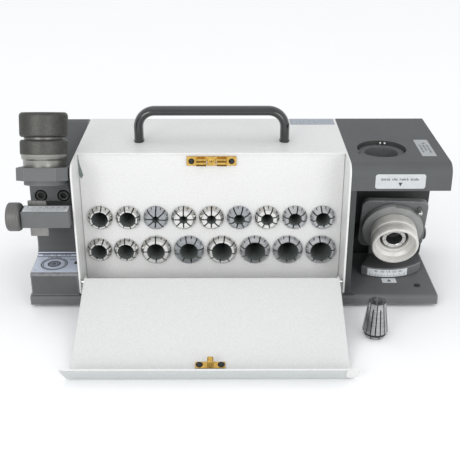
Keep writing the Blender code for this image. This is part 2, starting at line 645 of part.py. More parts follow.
def make_electrics():
    """Mains inlet with a rocker switch beside it, in the cover's back wall."""
    back = CASTING_BACK
    inlet = box("power_inlet", (59.0, back - 15.0, 31.0), (105.0, back + 0.5, 55.0),
                black_plastic())
    join(inlet, box("inlet_flange_tool", (56.0, back + GAP, 29.0), (108.0, back + 2.4, 57.0),
                    black_plastic()))
    socket = rounded_rectangle((79.0, 35.0), (101.0, 51.0), 3.0, 2)
    cut(inlet, prism("socket_cutter", socket, "XZ", back - 11.0, back + 5.0, black_plastic()))
    cut(inlet, box("rocker_cutter", (61.0, back - 7.0, 34.0), (74.0, back + 5.0, 52.0),
                   black_plastic()))
    profile = [(back - 4.6, 43.0 - 7.4), (back + 2.0, 43.0 - 7.8), (back + 0.8, 43.0),
               (back + 2.0, 43.0 + 7.8), (back - 4.6, 43.0 + 7.4)]
    prism("power_rocker", profile, "YZ", 61.6, 73.4, black_gloss(), at=(67.5, back - 4.0, 43.0))


def main():
    for old in list(bpy.data.objects):
        bpy.data.objects.remove(old, do_unlink=True)
    make_base()
    make_cover()
    make_panel()
    make_collets()
    make_handle()
    make_door()
    make_catch()
    make_left_casting()
    make_station()
    make_stop()
    make_right_casting()
    make_fixture()
    make_drive()
    make_electrics()


main()
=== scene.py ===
"""Looks of the drill bit sharpener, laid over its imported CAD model.

Sizes are in millimetres in the CAD source's design coordinates (x = 0 on the middle of the
collet store, y = 0 on the front edge of the base, z = 0 on the bench); spot() turns them into
the shared frame in metres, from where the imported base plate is.
"""
import json
import math

import bmesh
import bpy
from mathutils import Matrix, Vector

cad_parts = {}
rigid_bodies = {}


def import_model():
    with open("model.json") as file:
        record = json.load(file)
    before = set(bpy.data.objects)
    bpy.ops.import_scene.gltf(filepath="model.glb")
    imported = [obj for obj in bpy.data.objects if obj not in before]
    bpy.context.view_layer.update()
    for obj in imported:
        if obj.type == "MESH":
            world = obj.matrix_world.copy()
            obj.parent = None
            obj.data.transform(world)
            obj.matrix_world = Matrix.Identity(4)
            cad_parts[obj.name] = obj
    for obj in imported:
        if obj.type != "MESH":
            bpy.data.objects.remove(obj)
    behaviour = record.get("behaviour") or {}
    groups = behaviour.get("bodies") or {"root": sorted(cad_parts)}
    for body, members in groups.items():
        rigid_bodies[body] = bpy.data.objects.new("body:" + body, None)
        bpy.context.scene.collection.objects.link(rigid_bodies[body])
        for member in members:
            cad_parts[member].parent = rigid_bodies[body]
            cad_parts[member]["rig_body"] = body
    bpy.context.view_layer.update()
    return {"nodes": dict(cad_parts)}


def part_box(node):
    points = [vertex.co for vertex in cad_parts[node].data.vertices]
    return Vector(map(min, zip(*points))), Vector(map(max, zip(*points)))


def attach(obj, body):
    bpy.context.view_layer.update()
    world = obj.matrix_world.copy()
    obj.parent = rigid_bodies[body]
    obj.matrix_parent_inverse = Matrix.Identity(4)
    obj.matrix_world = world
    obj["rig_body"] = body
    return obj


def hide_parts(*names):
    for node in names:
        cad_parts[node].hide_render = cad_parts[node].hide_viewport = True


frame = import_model()
NODES = frame["nodes"]

MM = 0.001
BASE_LEFT = 154.5
BASE_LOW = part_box("base_plate")[0]
SHIFT = Vector((BASE_LOW.x + BASE_LEFT * MM, BASE_LOW.y, 0.0))
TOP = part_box("motor_cover")[1].z / MM
BASE_TOP = 11.0
EIGHTH = math.pi / 4
UP, FORWARD, BACK, RIGHT = (0, 0, 1), (0, -1, 0), (0, 1, 0), (1, 0, 0)
LABEL_THICK, INK_AT, BENT_INK_AT = 0.14, 0.19, 0.2


def spot(x, y, z):
    """A design point in millimetres as a point of the shared frame in metres."""
    return SHIFT + Vector((x, y, z)) * MM


def design_box(node):
    """The lowest and highest corners of a CAD node as design points."""
    return [(corner - SHIFT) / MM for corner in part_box(node)]


def middle_of(node):
    low, high = design_box(node)
    return (low + high) / 2


def bar(x0, y0, x1, y1):
    """The outline of a rectangle between two corners."""
    return [(x0, y0), (x1, y0), (x1, y1), (x0, y1)]


def add_object(name, data):
    made = bpy.data.objects.new(name, data)
    bpy.context.scene.collection.objects.link(made)
    return made


# ---------------------------------------------------------------- materials
class Graph:
    """Short-hand for one material's nodes."""

    def __init__(self, name, **constants):
        self.material = bpy.data.materials.new(name)
        self.material.use_nodes = True
        self.tree = self.material.node_tree
        self.shader = self.tree.nodes["Principled BSDF"]
        for socket, value in constants.items():
            self.shader.inputs[socket.replace("_", " ")].default_value = value
        self.coords = self.tree.nodes.new("ShaderNodeTexCoord").outputs["Object"]

    def link(self, value, socket):
        if hasattr(value, "is_linked"):
            self.tree.links.new(value, socket)
        else:
            socket.default_value = value

    def node(self, kind, **values):
        made = self.tree.nodes.new(f"ShaderNode{kind}")
        for socket, value in values.items():
            self.link(value, made.inputs[socket])
        return made

    def around(self):
        """Coordinates that are the same all the way round the piece's own Z: turning marks."""
        x, y, z = self.node("SeparateXYZ", Vector=self.coords).outputs
        square = self.calc("ADD", self.calc("MULTIPLY", x, x), self.calc("MULTIPLY", y, y))
        return self.node("CombineXYZ", X=self.calc("SQRT", square, 0.0), Z=z).outputs[0]

    def stretched(self, scale):
        """Coordinates drawn out along the axes whose scale is small: brushing."""
        return self.node("Mapping", Vector=self.coords, Scale=scale).outputs["Vector"]

    def calc(self, operation, a, b):
        node = self.node("Math")
        node.operation = operation
        self.link(a, node.inputs[0])
        self.link(b, node.inputs[1])
        return node.outputs[0]

    def noise(self, scale, detail=2.0, roughness=0.5, coords=None):
        return self.node("TexNoise", Vector=coords or self.coords, Scale=scale, Detail=detail,
                         Roughness=roughness).outputs["Fac"]

    def cells(self, scale):
        return self.node("TexVoronoi", Vector=self.coords, Scale=scale).outputs["Distance"]

    def ramp(self, value, *stops):
        """A colour ramp; a stop is (place, grey) or (place, (r, g, b))."""
        node = self.node("ValToRGB", Fac=value)
        elements = node.color_ramp.elements
        while len(elements) < len(stops):
            elements.new(0.5)
        for element, (place, shade) in zip(elements, stops):
            element.position = place
            element.color = (*shade, 1) if isinstance(shade, tuple) else (shade,) * 3 + (1,)
        return node.outputs["Color"]

    def mix(self, factor, a, b, blend="MIX"):
        node = self.node("Mix")
        node.data_type = "RGBA"
        node.blend_type = blend
        self.link(factor, node.inputs["Factor"])
        for value, socket in ((a, node.inputs["A"]), (b, node.inputs["B"])):
            if isinstance(value, tuple):
                value = (*value, 1)
            sockets = [s for s in node.inputs if s.name == socket.name and s.type == "RGBA"]
            self.link(value, sockets[0])
        return [s for s in node.outputs if s.type == "RGBA"][0]

    def bump(self, height, strength, distance):
        node = self.node("Bump", Strength=strength, Distance=distance * MM, Height=height)
        self.link(node.outputs["Normal"], self.shader.inputs["Normal"])

    def colour(self, value):
        self.link(value, self.shader.inputs["Base Color"])

    def rough(self, value, low, high):
        """Roughness that runs from low to high with a 0..1 pattern."""
        spread = self.calc("MULTIPLY", value, high - low)
        self.link(self.calc("ADD", spread, low), self.shader.inputs["Roughness"])


def scaled(shade, factor):
    return tuple(c * factor for c in shade)


def painted(name, shade, rough, grain=1500.0, depth=(0.22, 0.12), patch=0.06, sheen=0.42):
    """Paint over a surface with its own grain: patchy colour, fine speckle and bump."""
    g = Graph(name, Specular_IOR_Level=sheen)
    wide, fine = g.noise(22.0, 4.0, 0.6), g.noise(grain, 3.0, 0.65)
    patchy = g.ramp(wide, (0.3, scaled(shade, 1 - patch)), (0.7, scaled(shade, 1 + patch)))
    speck = g.ramp(fine, (0.35, 0.9), (0.65, 1.0))
    g.colour(g.mix(0.8, patchy, speck, "MULTIPLY"))
    g.rough(g.noise(grain * 0.5, 3.0), *rough)
    g.bump(g.calc("ADD", fine, g.calc("MULTIPLY", g.noise(grain * 0.22, 2.0), 1.6)), *depth)
    return g.material


def worn_highlit_edge(name, shade, bare):
    """Paint rubbed thin along an edge, down to the metal in places; its lighter colour is also a
    painted highlight.
    """
    g = Graph(name, Specular_IOR_Level=0.5)
    rub = g.noise(240.0, 4.0, 0.7)
    g.colour(g.ramp(rub, (0.38, shade), (0.62, bare)))
    g.rough(g.noise(700.0), 0.3, 0.5)
    g.bump(rub, 0.15, 0.1)
    return g.material


def metal(name, shade, rough, marks=2600.0, turned=True, dark=0.75, stretch=(1, 1, 1), depth=0.12,
          metallic=1.0):
    """Machined metal: turning marks round the piece's Z, or brushing along one axis."""
    g = Graph(name, Metallic=metallic)
    lines = g.noise(marks, 2.0, 0.6, g.around() if turned else g.stretched(stretch))
    stain = g.noise(120.0, 4.0, 0.6)
    tone = g.ramp(lines, (0.3, scaled(shade, dark)), (0.6, shade))
    haze = g.ramp(stain, (0.35, 0.86), (0.65, 1.0))
    g.colour(g.mix(0.85, tone, haze, "MULTIPLY"))
    g.rough(g.calc("MULTIPLY", g.calc("ADD", lines, stain), 0.5), *rough)
    g.bump(lines, depth, 0.05)
    return g.material


def plastic(name, shade, rough, coat=0.0, grain=1400.0, depth=0.08, gloss=0.45):
    g = Graph(name, Specular_IOR_Level=gloss, Coat_Weight=coat, Coat_Roughness=0.06)
    fine = g.noise(grain, 3.0, 0.6)
    g.colour(g.ramp(g.noise(90.0, 3.0), (0.3, scaled(shade, 0.8)), (0.7, scaled(shade, 1.2))))
    g.rough(g.noise(260.0, 3.0), *rough)
    g.bump(fine, depth, 0.08)
    return g.material


def label_stock(name, shade):
    g = Graph(name, Specular_IOR_Level=0.45)
    g.colour(g.ramp(g.noise(160.0, 4.0), (0.3, scaled(shade, 0.94)), (0.7, scaled(shade, 1.04))))
    g.rough(g.noise(400.0), 0.3, 0.45)
    g.bump(g.noise(900.0), 0.04, 0.05)
    return g.material


def stone(name, shade):
    g = Graph(name, Specular_IOR_Level=0.2)
    grit = g.cells(1500.0)
    g.colour(g.ramp(grit, (0.1, scaled(shade, 0.5)), (0.5, shade), (0.9, scaled(shade, 1.5))))
    g.rough(g.noise(900.0), 0.8, 0.95)
    g.bump(grit, 0.6, 0.3)
    return g.material


SHALLOW = (0.2, 0.12)
POWDER = dict(grain=620.0, depth=(0.018, 0.1), patch=0.008)
CAST = painted("cast_paint", (0.100, 0.104, 0.107), (0.5, 0.65), sheen=0.14)
CAST_BASE = painted("cast_paint_base", (0.135, 0.14, 0.143), (0.45, 0.6), sheen=0.2)
# Cast edges: rubbed paint as wear, lighter as a painted highlight.
CAST_EDGE_WEAR_HIGHLIGHT = worn_highlit_edge("cast_edge_wear_and_highlight", (0.14, 0.144, 0.15), (0.21, 0.21, 0.21))
# Painted shade: a darker copy of the cast paint for the swivel base's upward faces.
CAST_SHADED_TOP = painted("cast_paint_shaded", (0.10, 0.103, 0.105), (0.45, 0.6))
CAST_LIGHT = painted("cast_paint_fixture", (0.15, 0.155, 0.155), (0.4, 0.52), depth=SHALLOW)
# Painted shade: a near-black copy of the cast paint for the hood casting's shaded faces.
CAST_PAINTED_SHADE = painted("cast_painted_shade", (0.045, 0.049, 0.048), (0.6, 0.75), depth=SHALLOW)
WHITE = painted("white_powder_coat", (0.725, 0.725, 0.715), (0.38, 0.48), **POWDER)
# Painted highlight: a lighter copy of the white coat for bevelled edges.
WHITE_EDGE_HIGHLIGHT = painted("white_edge_painted_highlight", (0.80, 0.80, 0.79), (0.32, 0.42), **POWDER)
# Painted shade: a darker copy of the white coat for the door lip's downward face.
WHITE_LIP_SHADE = painted("white_lip_painted_shade", (0.52, 0.54, 0.54), (0.38, 0.48), **POWDER)
# Painted shade for the cover's upper-left corner.
GAP_SHADE = painted("cover_corner_painted_shade", (0.17, 0.21, 0.20), (0.6, 0.8), 620.0, (0.05, 0.1), 0.1)
STEEL = metal("turned_steel", (0.66, 0.65, 0.63), (0.17, 0.32))
STEEL_FIN = metal("ground_fin_steel", (0.50, 0.50, 0.505), (0.2, 0.36), 1400.0, dark=0.62)
STEEL_DULL = metal("blued_steel", (0.46, 0.475, 0.50), (0.26, 0.4), metallic=0.75)
STEEL_GREY = metal("aged_collet_steel", (0.55, 0.56, 0.57), (0.24, 0.38), metallic=0.8)
STEEL_PLATE = metal("ground_steel_plate", (0.27, 0.27, 0.255), (0.34, 0.5), 900.0, False,
                    stretch=(1.0, 0.06, 0.06), metallic=0.25)
STEEL_WARM = metal("chuck_neck_steel", (0.35, 0.345, 0.325), (0.26, 0.4), 1800.0, dark=0.7)
# Blackened steel of screws and motor, and painted shade in the chuck nut's groove.
BLACKENED_AND_GROOVE_SHADE = metal("blackened_steel_and_groove_shade", (0.19, 0.185, 0.175), (0.34, 0.5), 1800.0, dark=0.7)
KNURL_DARK = metal("knurled_dark_steel", (0.105, 0.105, 0.098), (0.42, 0.58), 900.0, False,
                   dark=0.7)
ALUMINIUM = metal("blasted_aluminium", (0.76, 0.745, 0.71), (0.4, 0.52), 2200.0, dark=0.92,
                  depth=0.05, metallic=0.3)
COLLET_FACE = metal("ground_collet_face", (0.85, 0.845, 0.83), (0.22, 0.36), 1500.0, dark=0.75,
                    metallic=0.4)
CAM_METAL = metal("machined_iron", (0.33, 0.335, 0.33), (0.38, 0.5), 1700.0, dark=0.88,
                  metallic=0.25)
BRASS = metal("stamped_brass", (0.74, 0.47, 0.12), (0.2, 0.34), 500.0, False, dark=0.7)
# Painted reflection: dark brass for the catch barrels' reflected dark bands.
BRASS_DARK_REFLECTION = metal("brass_painted_dark_reflection", (0.24, 0.13, 0.03), (0.3, 0.45), 500.0, False,
                    dark=0.7)
KNOB_METAL = metal("phosphated_knob", (0.145, 0.145, 0.14), (0.42, 0.55), 1300.0, dark=0.85,
                   metallic=0.3)
SCREW_BLACK = metal("black_oxide_screw", (0.05, 0.05, 0.05), (0.3, 0.45), 2600.0)
GLOSS = plastic("black_gloss_plastic", (0.009, 0.009, 0.010), (0.14, 0.22), 0.5, 500.0, 0.02,
                0.6)
BLACK = plastic("black_moulded_plastic", (0.022, 0.022, 0.022), (0.4, 0.55))
RUBBER = plastic("foot_rubber", (0.018, 0.018, 0.018), (0.7, 0.85), 0.0, 1100.0, 0.2)
# Painted shade: near-black for drives, slots, sockets, counterbores, grooves and gaps.
RECESS_SHADE = plastic("painted_recess_shade", (0.03, 0.034, 0.033), (0.6, 0.8))
# Painted shade: flat grey-green for collet bores, slot walls and bore linings in place of steel.
COLLET_BORE_SHADE = plastic("collet_bore_painted_shade", (0.14, 0.155, 0.15), (0.5, 0.65), 0.0, 1200.0, 0.1, 0.4)
PAPER = label_stock("label_paper", (0.69, 0.715, 0.73))
PAPER_HOOD = label_stock("label_paper_hood", (0.51, 0.53, 0.54))
PAPER_BLUE = label_stock("label_foil_blue", (0.60, 0.65, 0.76))
PAPER_GREY = label_stock("label_foil_silver", (0.34, 0.355, 0.365))
FOIL = label_stock("label_foil_grey", (0.30, 0.33, 0.38))
INK = label_stock("label_ink", (0.05, 0.055, 0.06))
INK_LIGHT = label_stock("label_ink_light", (0.60, 0.64, 0.68))
STONE = stone("grinding_stone", (0.34, 0.29, 0.26))


# ---------------------------------------------------------------- geometry helpers
def publish(name, bm, finishes, body, matrix=None, stands_for=(), sharp=32,
            recalc=True):
    """Turn a bmesh in metres into a piece that rides on a CAD body."""
    if recalc:
        bmesh.ops.recalc_face_normals(bm, faces=bm.faces)
    mesh = bpy.data.meshes.new(name)
    bm.to_mesh(mesh)
    bm.free()
    mesh.shade_smooth()
    mesh.set_sharp_from_angle(angle=math.radians(sharp))
    for finish in finishes if isinstance(finishes, (list, tuple)) else [finishes]:
        mesh.materials.append(finish)
    made = add_object(name, mesh)
    if matrix is not None:
        made.matrix_world = matrix
    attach(made, body)
    if stands_for:
        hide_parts(*stands_for)
    return made


def soften(made, width, segments=2, angle=32, edge=False):
    """Round the sharp edges; with edge they take the piece's second finish."""
    step = made.modifiers.new("rounded_edges", "BEVEL")
    step.width = width * MM
    step.segments = segments
    step.limit_method = "ANGLE"
    step.angle_limit = math.radians(angle)
    if edge:
        step.material = 1
    made.modifiers.new("even_shading", "WEIGHTED_NORMAL").keep_sharp = True
    return made


def tint(made, index, wanted):
    """Another finish for a CAD-shaped piece's faces, by wanted(design middle, normal)."""
    for face in made.data.polygons:
        if wanted((face.center - SHIFT) / MM, face.normal):
            face.material_index = index


def repaint(bm, index, wanted):
    """Another finish for the faces of a turned shape, by wanted(radius, height) in mm."""
    for face in bm.faces:
        middle = face.calc_center_median() / MM
        if wanted(middle.xy.length, middle.z):
            face.material_index = index


def refined(node, name, finishes, width, segments=3, angle=32, sharp=32):
    """The CAD node's own shape, made whole, its rounded edges in a second finish if any; a
    lighter edge finish there is a painted highlight.
    """
    bm = bmesh.new()
    bm.from_mesh(NODES[node].data)
    bmesh.ops.remove_doubles(bm, verts=bm.verts, dist=2e-6)
    bmesh.ops.dissolve_limit(bm, angle_limit=math.radians(0.6), verts=bm.verts, edges=bm.edges)
    for face in bm.faces:
        face.material_index = 0
    made = publish(name, bm, finishes, NODES[node]["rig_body"], None, (node,), sharp)
    return soften(made, width, segments, angle, len(finishes) > 1)


def frame_at(origin, axis, up=None):
    """A matrix whose local Z is the axis and whose local Y leans up, or back on a flat top."""
    z = Vector(axis).normalized()
    x = Vector(up or (UP if abs(z.z) < 0.9 else BACK)).cross(z).normalized()
    y = z.cross(x)
    p = spot(*origin)
    return Matrix(((x.x, y.x, z.x, p.x), (x.y, y.y, z.y, p.y), (x.z, y.z, z.z, p.z),
                   (0, 0, 0, 1)))


def filleted(profile, radius, points=3):
    """Round the corners of a (radius, height) profile, ends on the axis left alone."""
    out = []
    count = len(profile)
    for i, here in enumerate(profile):
        before, after = Vector(profile[i - 1]), Vector(profile[(i + 1) % count])
        here = Vector(here)
        if here.x == 0:
            out.append(tuple(here))
            continue
        a, b = before - here, after - here
        reach = min(radius, a.length * 0.4, b.length * 0.4)
        if reach < 0.02 or abs(a.angle(b) - math.pi) < 0.25:
            out.append(tuple(here))
            continue
        start, end = here + a.normalized() * reach, here + b.normalized() * reach
        for k in range(points):
            t = k / (points - 1)
            out.append(tuple((1 - t) ** 2 * start + 2 * t * (1 - t) * here + t * t * end))
    return out


def lathe_mesh(bm, profile, steps, wave=None, material=0, place=None):
    """Turn a closed profile; wave(angle, radius, height) gives the reach in mm."""
    place = place or Matrix.Identity(4)
    rings = []
    for radius, height in profile:
        if radius == 0:
            rings.append([bm.verts.new(place @ Vector((0, 0, height * MM)))] * steps)
            continue
        ring = []
        for i in range(steps):
            angle = 2 * math.pi * i / steps
            reach = (wave(angle, radius, height) if wave else radius) * MM
            ring.append(bm.verts.new(place @ Vector(
                (reach * math.cos(angle), reach * math.sin(angle), height * MM))))
        rings.append(ring)
    pairs = list(zip(rings, rings[1:]))
    if not (profile[0][0] == 0 and profile[-1][0] == 0):
        pairs.append((rings[-1], rings[0]))
    for lower, upper in pairs:
        for i in range(steps):
            j = (i + 1) % steps
            corners = [lower[i], lower[j], upper[j], upper[i]]
            unique = [v for k, v in enumerate(corners) if v not in corners[:k]]
            if len(unique) > 2:
                bm.faces.new(unique).material_index = material


def turned(name, profile, finishes, origin, axis, body, slot=None, stands_for=(), steps=64,
           fillet=0.3, wave=None, sharp=32):
    """A lathed piece whose local Z is the axis; fillet rounds its profile's corners."""
    bm = bmesh.new()
    lathe_mesh(bm, filleted(profile, fillet) if fillet else profile, steps, wave)
    return publish(name, bm, finishes, body, frame_at(origin, axis), stands_for, sharp)


def knurl(count, depth, low, high, least):
    """Straight knurling of count grooves between two heights, on radii over least."""
    def wave(angle, radius, height):
        if not low < height < high or radius < least:
            return radius
        return radius - depth * (0.5 + 0.5 * math.cos(count * angle))
    return wave


def add_prism(bm, outline, low, high, place=None, material=0):
    """An outline in the local XY plane between two local heights, in millimetres."""
    place = place or Matrix.Identity(4)
    rings = [[bm.verts.new(place @ Vector((x * MM, y * MM, level * MM))) for x, y in outline]
             for level in (low, high)]
    faces = [bm.faces.new(list(reversed(rings[0]))), bm.faces.new(rings[1])]
    for i in range(len(outline)):
        j = (i + 1) % len(outline)
        faces.append(bm.faces.new((rings[0][i], rings[0][j], rings[1][j], rings[1][i])))
    for face in faces:
        face.material_index = material


def arc(centre, radius, start, end, steps):
    angles = [math.radians(start + (end - start) * i / steps) for i in range(steps + 1)]
    return [(centre[0] + radius * math.cos(a), centre[1] + radius * math.sin(a)) for a in angles]


def rounded_rectangle(x0, y0, x1, y1, radius, steps=5):
    points = []
    for cx, cy, start in ((x1 - radius, y1 - radius, 0), (x0 + radius, y1 - radius, 90),
                          (x0 + radius, y0 + radius, 180), (x1 - radius, y0 + radius, 270)):
        points += arc((cx, cy), radius, start, start + 90, steps)
    return points


def screw_heads(name, places, radius, height, kind, finish, body):
    """Screw heads on a surface: each place is (origin, outward axis, turn in degrees)."""
    if kind == "socket":
        rim = [(0, 0), (radius, 0), (radius, height), (radius * 0.62, height)]
    else:
        rim = [(0, 0), (radius, 0), (radius * 0.96, height * 0.45),
               (radius * 0.72, height * 0.9), (radius * 0.3, height)]
    half_slot, drive = radius * 0.13, radius * 0.55
    bm = bmesh.new()
    for origin, axis, turn in places:
        place = frame_at(origin, axis) @ Matrix.Rotation(math.radians(turn), 4, "Z")
        lathe_mesh(bm, filleted(rim, 0.25) + [(0, height)], 32, place=place)
        # The drive is a thin near-black plate on the head: painted shade in place of a sunk
        # socket or slot.
        if kind == "socket":
            add_prism(bm, arc((0, 0), drive, 0, 300, 5), height - 0.02, height + 0.03, place, 1)
        else:
            add_prism(bm, bar(-half_slot, -drive, half_slot, drive), height - 0.3, height + 0.03,
                      place, 1)
            add_prism(bm, bar(-drive, -half_slot, drive, half_slot), height - 0.3,
                      height + 0.035, place, 1)
    return publish(name, bm, [finish, RECESS_SHADE], body)


def glyphs(text, size):
    """Numerals as outlines: triangles of the built-in font, centred, in millimetres."""
    curve = bpy.data.curves.new("numeral", "FONT")
    curve.body = text
    curve.size = size
    curve.align_x = "CENTER"
    curve.align_y = "CENTER"
    holder = add_object("numeral", curve)
    bpy.context.view_layer.update()
    mesh = holder.evaluated_get(bpy.context.evaluated_depsgraph_get()).to_mesh()
    faces = [[tuple(mesh.vertices[v].co.xy) for v in face.vertices] for face in mesh.polygons]
    bpy.data.objects.remove(holder)
    bpy.data.curves.remove(curve)
    return faces


def script(x, y, lengths, height=1.8, lean=0.62):
    """A line of small meaningless strokes where the real label has words: strokes per word."""
    marks = []
    count = 0
    stem, wide = height * 0.16, height * lean * 0.72
    for length in lengths:
        for _ in range(length):
            count += 1
            marks.append(bar(x, y, x + stem, y + height * (0.7 + 0.3 * (count % 2))))
            cross = y + (count * 7 % 5) / 5 * height * 0.6
            marks.append(bar(x, cross, x + wide, cross + stem))
            if count % 3:
                marks.append(bar(x + wide - stem, y, x + wide, y + height * 0.66))
            x += height * lean
        x += height * 0.7
    return marks


def ring_marks(cx, cy, radius, width, steps):
    """A printed ring, as a row of small quadrilaterals."""
    marks = []
    for i in range(steps):
        a, b = (2 * math.pi * k / steps for k in (i, i + 1))
        marks.append([(cx + r * math.cos(t), cy + r * math.sin(t))
                      for r, t in ((radius - width, a), (radius, a), (radius, b),
                                   (radius - width, b))])
    return marks


def sticker(name, body, place, outline, marks, stock, ink):
    """A thin flat label with printing, in the local XY plane, Z outwards."""
    bm = bmesh.new()
    add_prism(bm, outline, 0.0, LABEL_THICK)
    for mark in marks:
        bm.faces.new([bm.verts.new((x * MM, y * MM, INK_AT * MM))
                      for x, y in mark]).material_index = 1
    return publish(name, bm, [stock, ink], body, place, recalc=False)


def bent_sticker(name, body, place, size, marks, bend, stock, corner=0.0):
    """A label from (0, 0) to size that follows a bend: bend(x, y, height) is a local point."""
    bm = bmesh.new()
    across, along = [max(2, int(length / 1.2)) for length in size]

    def grid_point(i, j, height):
        y = size[1] * j / along
        short = max(corner - min(y, size[1] - y), 0.0)
        inset = corner - math.sqrt(corner ** 2 - short ** 2)
        x = inset + (size[0] - 2 * inset) * i / across
        return bm.verts.new(bend(x, y, height) * MM)

    top = [[grid_point(i, j, LABEL_THICK) for j in range(along + 1)] for i in range(across + 1)]
    for i in range(across):
        for j in range(along):
            bm.faces.new((top[i][j], top[i + 1][j], top[i + 1][j + 1], top[i][j + 1]))
    rim = ([(i, 0) for i in range(across)] + [(across, j) for j in range(along)]
           + [(i, along) for i in range(across, 0, -1)] + [(0, j) for j in range(along, 0, -1)])
    low = [grid_point(i, j, 0.0) for i, j in rim]
    for k, (i, j) in enumerate(rim):
        n = (k + 1) % len(rim)
        bm.faces.new((low[k], low[n], top[rim[n][0]][rim[n][1]], top[i][j]))
    for mark in marks:
        bm.faces.new([bm.verts.new(bend(x, y, BENT_INK_AT) * MM)
                      for x, y in mark]).material_index = 1
    return publish(name, bm, [stock, INK], body, place, recalc=False)


# ---------------------------------------------------------------- base, cover and castings
def make_base():
    refined("base_plate", "base_plate_shape", [CAST_BASE, CAST_EDGE_WEAR_HIGHLIGHT], 1.0)
    for end in ("front", "back"):
        for side in ("left", "right"):
            node = f"foot_{end}_{side}"
            top = design_box(node)[1].z
            turned(f"rubber_{node}", [(0, 0), (7.0, 0), (7.6, 0.5), (8.0, top), (0, top)], RUBBER,
                   (*middle_of(node).xy, 0.0), UP, "machine", "black_plastic", (node,), 48, 0.2)
    screw_heads("base_screws", [((177.5, 17.6, BASE_TOP), UP, 25)], 2.7, 0.5, "socket",
                SCREW_BLACK, "machine")


def make_cover():
    refined("motor_cover", "cover_sheet", [WHITE, WHITE_EDGE_HIGHLIGHT], 0.5, 2, sharp=40)
    refined("collet_panel", "collet_panel_sheet", [WHITE, WHITE_EDGE_HIGHLIGHT], 0.2, 1)
    # A thin grey-green sheet in the collet panel's upper-left corner: painted shade.
    bm = bmesh.new()
    add_prism(bm, [(0.2, 125.0), (0.9, 119.0), (3.4, 108.5), (1.4, 105.5), (0.2, 108.0)], 0.02,
              0.12, frame_at((*design_box("collet_panel")[0].xy, 0.0), FORWARD))
    publish("cover_corner_painted_shade", bm, GAP_SHADE, "machine")
    bm = bmesh.new()
    add_prism(bm, bar(-108.5, 3.0, 108.5, 30.8), BASE_TOP + 0.05, BASE_TOP + 1.0)
    publish("recess_tray", bm, WHITE, "machine", Matrix.Translation(SHIFT))
    marks = []
    for k, line in enumerate(((6, 9, 4), (8, 3, 7), (5, 10), (7, 4, 8))):
        marks += script(-17.5, 4.2 - 3.3 * k, line, 1.9)
    sticker("rating_plate", "machine", frame_at((89.8, 111.5, TOP), UP),
            rounded_rectangle(-20, -8.2, 20, 8.2, 1.0), marks, FOIL, INK_LIGHT)


PORT_AT, PORT_REACH = (141.4, 40.0), 20.9


def make_castings():
    refined("left_casting", "left_casting_shape", [CAST, CAST_EDGE_WEAR_HIGHLIGHT], 1.4)
    hood = refined("right_casting", "right_casting_shape", [CAST, CAST_EDGE_WEAR_HIGHLIGHT, CAST_PAINTED_SHADE], 1.1)

    # Faces that take the near-black third finish as painted shade: under the hood, round the
    # port's inner wall, along the side wall's front strip and on faces looking down.
    def in_shade(middle, normal):
        x, y, z = middle
        under = 30 < y < 82 and 11.5 < z < 112 and normal.y < -0.05
        reach = math.hypot(x - PORT_AT[0], y - PORT_AT[1])
        port = z > 108 and reach < PORT_REACH and abs(normal.z) < 0.5
        side_wall = x < 118 and 18 < z < 107.5 and (normal.x > 0.3 or y < 1.6)
        return under or port or side_wall or (normal.z < -0.5 and z > 100)

    tint(hood, 2, in_shade)


# ---------------------------------------------------------------- handle
def make_handle():
    """Bow handle of one oval section, its legs standing on small moulded collars."""
    low, high = design_box("carry_handle")
    half_wide, half_deep, radius, steps = 4.0, 5.8, 14.0, 28
    left, right, top, foot = low.x + half_wide, high.x - half_wide, high.z - half_wide, low.z
    y = (low.y + high.y) / 2
    path = [(left, foot), (left, foot + 6)]
    path += arc((left + radius, top - radius), radius, 180, 90, 14)
    path += arc((right - radius, top - radius), radius, 90, 0, 14)
    path += [(right, foot + 6), (right, foot)]
    bm = bmesh.new()
    rings = []
    for i, (x, z) in enumerate(path):
        a, b = path[max(i - 1, 0)], path[min(i + 1, len(path) - 1)]
        along = Vector((b[0] - a[0], 0, b[1] - a[1])).normalized()
        side = Vector(BACK).cross(along).normalized()
        ring = []
        for k in range(steps):
            t = 2 * math.pi * k / steps
            p = spot(x, y, z) + side * half_wide * MM * math.cos(t)
            ring.append(bm.verts.new(p + Vector((0, half_deep * MM * math.sin(t), 0))))
        rings.append(ring)
    for lower, upper in zip(rings, rings[1:]):
        for i in range(steps):
            j = (i + 1) % steps
            bm.faces.new((lower[i], lower[j], upper[j], upper[i]))
    bm.faces.new(list(reversed(rings[0])))
    bm.faces.new(rings[-1])
    publish("carry_handle_bow", bm, GLOSS, "machine", stands_for=("carry_handle",),
            sharp=60)
    bm = bmesh.new()
    for x in (left, right):
        lathe_mesh(bm, filleted([(0, 0), (4.25, 0), (4.25, 0.9), (4.0, 1.3), (0, 1.3)], 0.2), 40,
                   lambda a, r, h: r * (1 + 0.42 * math.sin(a) ** 2),
                   place=Matrix.Translation(spot(x, y, foot - 0.25)))
    publish("handle_collars", bm, BLACK, "machine")


# ---------------------------------------------------------------- collets
def clip(line, low, high):
    """The part of an (r, s) polyline between two values of s."""
    out = []
    for (r0, s0), (r1, s1) in zip(line, line[1:]):
        a, b = max(s0, low), min(s1, high)
        if b < a or s1 < low or s0 > high:
            continue
        for s in (a, b):
            t = (s - s0) / (s1 - s0) if s1 > s0 else (0 if s == s0 and (r0, s0) not in out else 1)
            point = (r0 + (r1 - r0) * t, s)
            if not out or (abs(out[-1][0] - point[0]) + abs(out[-1][1] - point[1])) > 1e-6:
                out.append(point)
        if s1 == s0 and (r1, s1) != out[-1]:
            out.append((r1, s1))
    return out


